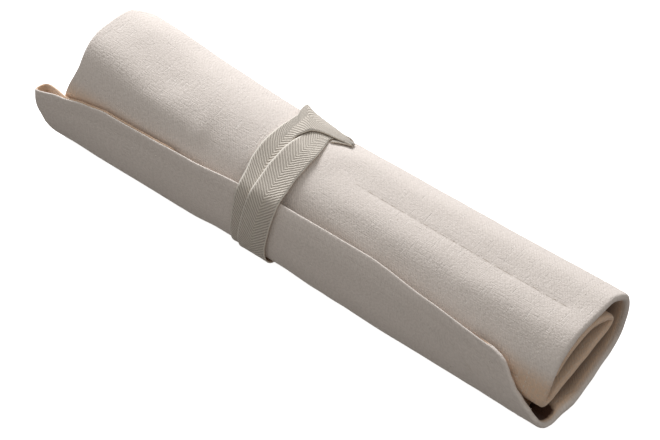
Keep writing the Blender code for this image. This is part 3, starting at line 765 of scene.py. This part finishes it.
def ribbon(rows, steps):
    """Middle points and cloth coordinates of a tape laid between two edges."""
    edges = np.array(rows, float)
    spans = np.linalg.norm(np.diff(edges.mean(axis=1), axis=0) * [0.6, 1.0, 1.0], axis=1)
    place = np.concatenate([[0.0], np.cumsum(spans)])
    fine = np.linspace(0.0, place[-1], steps)
    picked = np.stack([[table(list(zip(place, edges[:, e, c])), fine) for c in range(3)] for e in (0, 1)])
    side = np.linspace(0.0, 1.0, TAPE_COLUMNS)[None]
    turned, x, layer = (picked[0, c][:, None] * (1 - side) + picked[1, c][:, None] * side for c in range(3))
    edge = np.abs(2.0 * side - 1.0)
    rng = np.random.default_rng(11)
    knots = np.arange(0, steps + 8, 8)
    waver = np.interp(np.arange(steps), knots, rng.uniform(-0.12, 0.12, len(knots)))
    layer = layer + 0.16 * edge ** 3 + waver[:, None] * edge
    px = TAPE_X + x + waver[:, None] * 1.4
    grid = np.concatenate([px[..., None], wrap(BACK_TOP - np.radians(turned), px, layer)], axis=-1)
    step = np.linalg.norm(np.diff(grid[:, TAPE_COLUMNS // 2], axis=0), axis=1)
    along = np.concatenate([[0.0], np.cumsum(step)])
    uv = np.stack(np.broadcast_arrays((side - 0.5) * TAPE_W, along[:, None]), axis=-1)
    return grid, uv, along[-1]


def tape_piece(name, rows, steps, thickness):
    """Tape laid between two edges, with painted warm bounce light on the face toward the roll, and its
    length.
    """
    grid, uv, length = ribbon(rows, steps)
    bounce_face_value = np.ones(grid.shape[:2])
    return thick_sheet(name, grid, thickness, uv, bounce_face_value, 0.0 * bounce_face_value, TAPE), length


# ---- pieces ---------------------------------------------------------------------------------------------

body, body_length = build_body()
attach(body, "root")
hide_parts("body_panel")

pocket = build_pocket()
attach(pocket, "root")
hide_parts("pocket_panel")

stands_for = {
    "pocket_seam_stitches": [f"pocket_seam_{kind}_thread_{k + 1}"
                             for kind in ("needle", "bobbin") for k in range(SEAMS)],
    "side_hem_stitches": ["side_hem_thread_outer", "side_hem_thread_inner"],
    "pocket_bottom_stitches": ["pocket_bottom_hem_thread"],
    "pocket_mouth_stitches": ["pocket_mouth_hem_thread"],
    "top_flap_stitches": ["top_flap_hem_thread"],
}
for stitch_name, runs in build_stitches().items():
    stitch = stitch_piece(stitch_name, runs)
    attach(stitch, "root")
    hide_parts(*stands_for[stitch_name])

tie, tape_length = tape_piece("herringbone_tie", TAPE_EDGES, 440, 0.75)
tie_end, tie_end_length = tape_piece("herringbone_tie_end", UNDER_EDGES, 40, 0.7)
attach(tie, "root")
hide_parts("tie_tape")
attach(tie_end, "root")

# ---- floor, light, camera -------------------------------------------------------------------------------

floor_mesh = bpy.data.meshes.new("floor")
floor_mesh.from_pydata([(-4, -4, 0), (4, -4, 0), (4, 4, 0), (-4, 4, 0)], [], [(0, 1, 2, 3)])
floor = bpy.data.objects.new("floor", floor_mesh)
bpy.context.scene.collection.objects.link(floor)
floor_material = bpy.data.materials.new("floor")
floor_material.use_nodes = True
floor_bsdf = floor_material.node_tree.nodes["Principled BSDF"]
floor_bsdf.inputs["Base Color"].default_value = (0.93, 0.93, 0.94, 1.0)
floor_bsdf.inputs["Roughness"].default_value = 1.0
floor_bsdf.inputs["Specular IOR Level"].default_value = 0.0
floor_bsdf.inputs["Emission Color"].default_value = (1.0, 1.0, 1.0, 1.0)
floor_bsdf.inputs["Emission Strength"].default_value = 0.84
floor_mesh.materials.append(floor_material)
floor.visible_diffuse = False

world = bpy.data.worlds.new("studio")
bpy.context.scene.world = world
world.use_nodes = True
world_nodes, world_links = world.node_tree.nodes, world.node_tree.links
direction = world_nodes.new("ShaderNodeTexCoord")
split_direction = world_nodes.new("ShaderNodeSeparateXYZ")
rise = world_nodes.new("ShaderNodeMapRange")
rise.inputs["From Min"].default_value = -0.2
rise.inputs["From Max"].default_value = 0.2
sky = world_nodes.new("ShaderNodeMix")
sky.data_type = "RGBA"
sky.inputs[6].default_value = (0.085, 0.068, 0.055, 1.0)
sky.inputs[7].default_value = (0.46, 0.447, 0.43, 1.0)
world_links.new(direction.outputs["Generated"], split_direction.inputs[0])
world_links.new(split_direction.outputs["Z"], rise.inputs["Value"])
world_links.new(rise.outputs[0], sky.inputs[0])
world_links.new(sky.outputs[2], world_nodes["Background"].inputs["Color"])


def area_light(name, place, target, size, power, colour):
    data = bpy.data.lights.new(name, "AREA")
    data.shape = "DISK"
    data.size = size
    data.energy = power
    data.color = colour
    obj = bpy.data.objects.new(name, data)
    obj.location = place
    obj.rotation_euler = (Vector(target) - Vector(place)).to_track_quat("-Z", "Y").to_euler()
    bpy.context.scene.collection.objects.link(obj)


area_light("key", (-0.86, 0.90, 0.72), (0, 0, 0.03), 0.5, 21.5, (1.0, 1.0, 1.02))

AZIMUTH, ELEVATION, DISTANCE = math.radians(37.5), math.radians(50.0), 0.924
TARGET = Vector((0.0128, -0.0035, 0.0228))
back = Vector((math.sin(AZIMUTH) * math.cos(ELEVATION), -math.cos(AZIMUTH) * math.cos(ELEVATION),
               math.sin(ELEVATION)))
camera_data = bpy.data.cameras.new("camera")
camera_data.lens = 85.0
camera_data.sensor_width = 36.0
camera = bpy.data.objects.new("camera", camera_data)
camera.location = TARGET + back * DISTANCE
camera.rotation_euler = (-back).to_track_quat("-Z", "Y").to_euler()
bpy.context.scene.collection.objects.link(camera)
bpy.context.scene.camera = camera
bpy.context.scene.view_settings.view_transform = "Standard"
